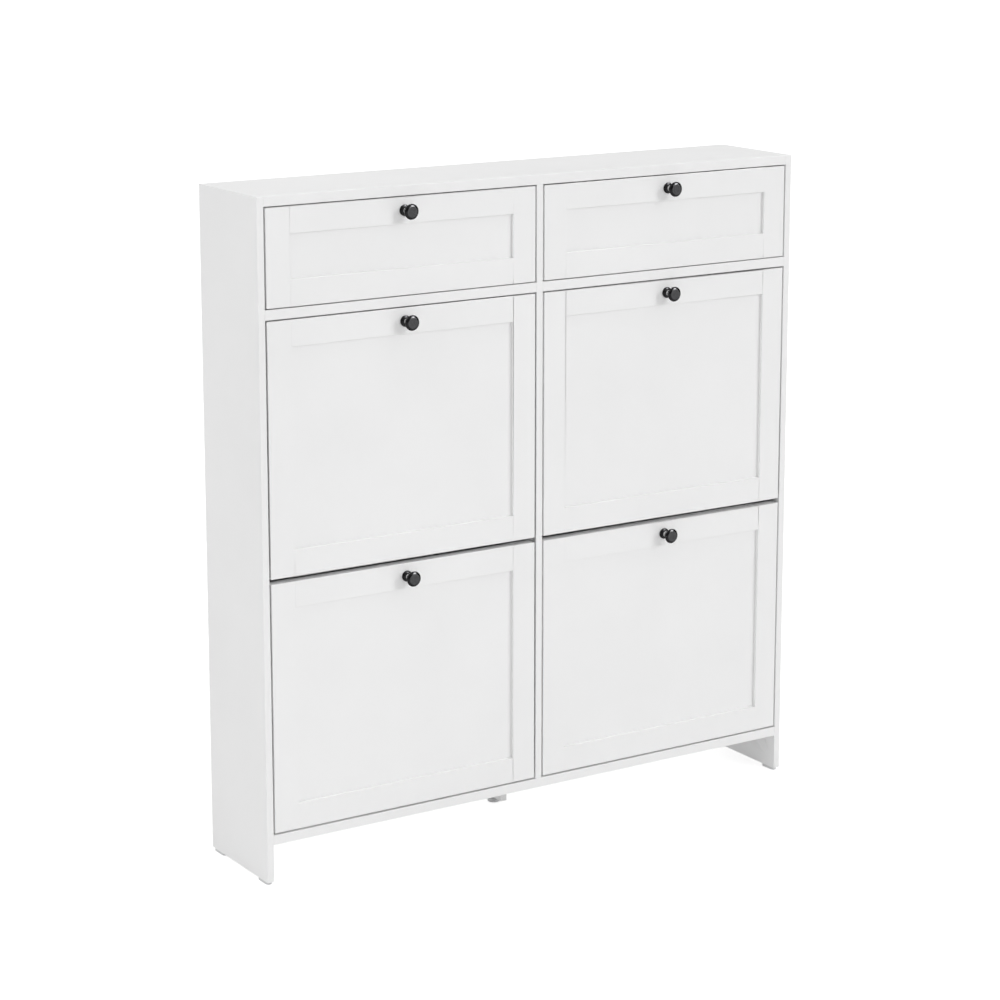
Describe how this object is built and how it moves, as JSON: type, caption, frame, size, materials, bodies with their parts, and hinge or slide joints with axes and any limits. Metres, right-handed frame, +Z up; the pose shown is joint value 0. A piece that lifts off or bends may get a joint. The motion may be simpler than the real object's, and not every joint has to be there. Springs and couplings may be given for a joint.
{
  "type": "shoe cabinet",
  "caption": "Slim shoe cabinet in side-by-side columns, each with a framed drawer above tilt-out framed flaps with shoe trays, dark mushroom knobs and a raised bottom board.",
  "frame": {"origin": "on the floor, in the middle of the outer box with the knobs counted in", "axes": "+Z up, the fronts face -Y, +X to the right of someone facing the fronts"},
  "size_m": [1.028, 0.218, 1.1],
  "materials": {
    "white_board": "satin white melamine-faced board with matching edge band",
    "front_board": "satin white lacquered fibreboard",
    "back_sheet": "thin hard fibreboard, white on its inner face",
    "tray_board": "thin white faced board",
    "tray_plastic": "moulded light grey plastic, fine texture",
    "white_plastic": "extruded white plastic",
    "glide_plastic": "moulded pale grey plastic",
    "knob_metal": "dark gunmetal plated casting with a satin face",
    "steel": "bright zinc plated steel",
    "zinc": "plain die-cast zinc",
    "dowel_wood": "plain beech"
  },
  "bodies": {
    "carcass": {"side_left": "white_board", "side_right": "white_board", "divider": "white_board", "top_panel": "white_board", "bottom_panel": "white_board", "drawer_shelf_left": "white_board", "drawer_shelf_right": "white_board", "back_panel_left": "back_sheet", "back_panel_right": "back_sheet", "wall_rail_left": "white_board", "wall_rail_right": "white_board", "back_joint_strip": "white_plastic", "floor_glides": "glide_plastic", "centre_leg": "white_board", "centre_foot": "glide_plastic", "cam_locks": "zinc", "cam_bolts": "steel", "dowels": "dowel_wood", "divider_screws": "steel", "pivot_pins": "steel", "stop_screws": "steel", "drawer_runners": "white_plastic"},
    "upper_left_flap": {"upper_left_flap_frame": "front_board", "upper_left_flap_panel": "front_board", "upper_left_flap_knob": "knob_metal", "upper_left_flap_tray_cheeks": "tray_plastic", "upper_left_flap_tray_floor": "tray_board", "upper_left_flap_tray_back": "tray_board"},
    "upper_right_flap": {"upper_right_flap_frame": "front_board", "upper_right_flap_panel": "front_board", "upper_right_flap_knob": "knob_metal", "upper_right_flap_tray_cheeks": "tray_plastic", "upper_right_flap_tray_floor": "tray_board", "upper_right_flap_tray_back": "tray_board"},
    "lower_left_flap": {"lower_left_flap_frame": "front_board", "lower_left_flap_panel": "front_board", "lower_left_flap_knob": "knob_metal", "lower_left_flap_tray_cheeks": "tray_plastic", "lower_left_flap_tray_floor": "tray_board", "lower_left_flap_tray_back": "tray_board"},
    "lower_right_flap": {"lower_right_flap_frame": "front_board", "lower_right_flap_panel": "front_board", "lower_right_flap_knob": "knob_metal", "lower_right_flap_tray_cheeks": "tray_plastic", "lower_right_flap_tray_floor": "tray_board", "lower_right_flap_tray_back": "tray_board"},
    "left_drawer": {"left_drawer_frame": "front_board", "left_drawer_panel": "front_board", "left_drawer_knob": "knob_metal", "left_drawer_sides": "white_board", "left_drawer_back": "white_board", "left_drawer_bottom": "back_sheet"},
    "right_drawer": {"right_drawer_frame": "front_board", "right_drawer_panel": "front_board", "right_drawer_knob": "knob_metal", "right_drawer_sides": "white_board", "right_drawer_back": "white_board", "right_drawer_bottom": "back_sheet"}
  },
  "joints": [
    {"name": "upper_left_flap_tilt", "type": "hinge", "parent": "carcass", "child": "upper_left_flap", "pos_m": [-0.254, -0.075, 0.52], "axis": [1, 0, 0], "range_deg": [0, 45]},
    {"name": "upper_right_flap_tilt", "type": "hinge", "parent": "carcass", "child": "upper_right_flap", "pos_m": [0.254, -0.075, 0.52], "axis": [1, 0, 0], "range_deg": [0, 45]},
    {"name": "lower_left_flap_tilt", "type": "hinge", "parent": "carcass", "child": "lower_left_flap", "pos_m": [-0.254, -0.075, 0.105], "axis": [1, 0, 0], "range_deg": [0, 45]},
    {"name": "lower_right_flap_tilt", "type": "hinge", "parent": "carcass", "child": "lower_right_flap", "pos_m": [0.254, -0.075, 0.105], "axis": [1, 0, 0], "range_deg": [0, 45]},
    {"name": "left_drawer_slide", "type": "slide", "parent": "carcass", "child": "left_drawer", "axis": [0, -1, 0], "range_m": [0, 0.11]},
    {"name": "right_drawer_slide", "type": "slide", "parent": "carcass", "child": "right_drawer", "axis": [0, -1, 0], "range_m": [0, 0.11]}
  ]
}
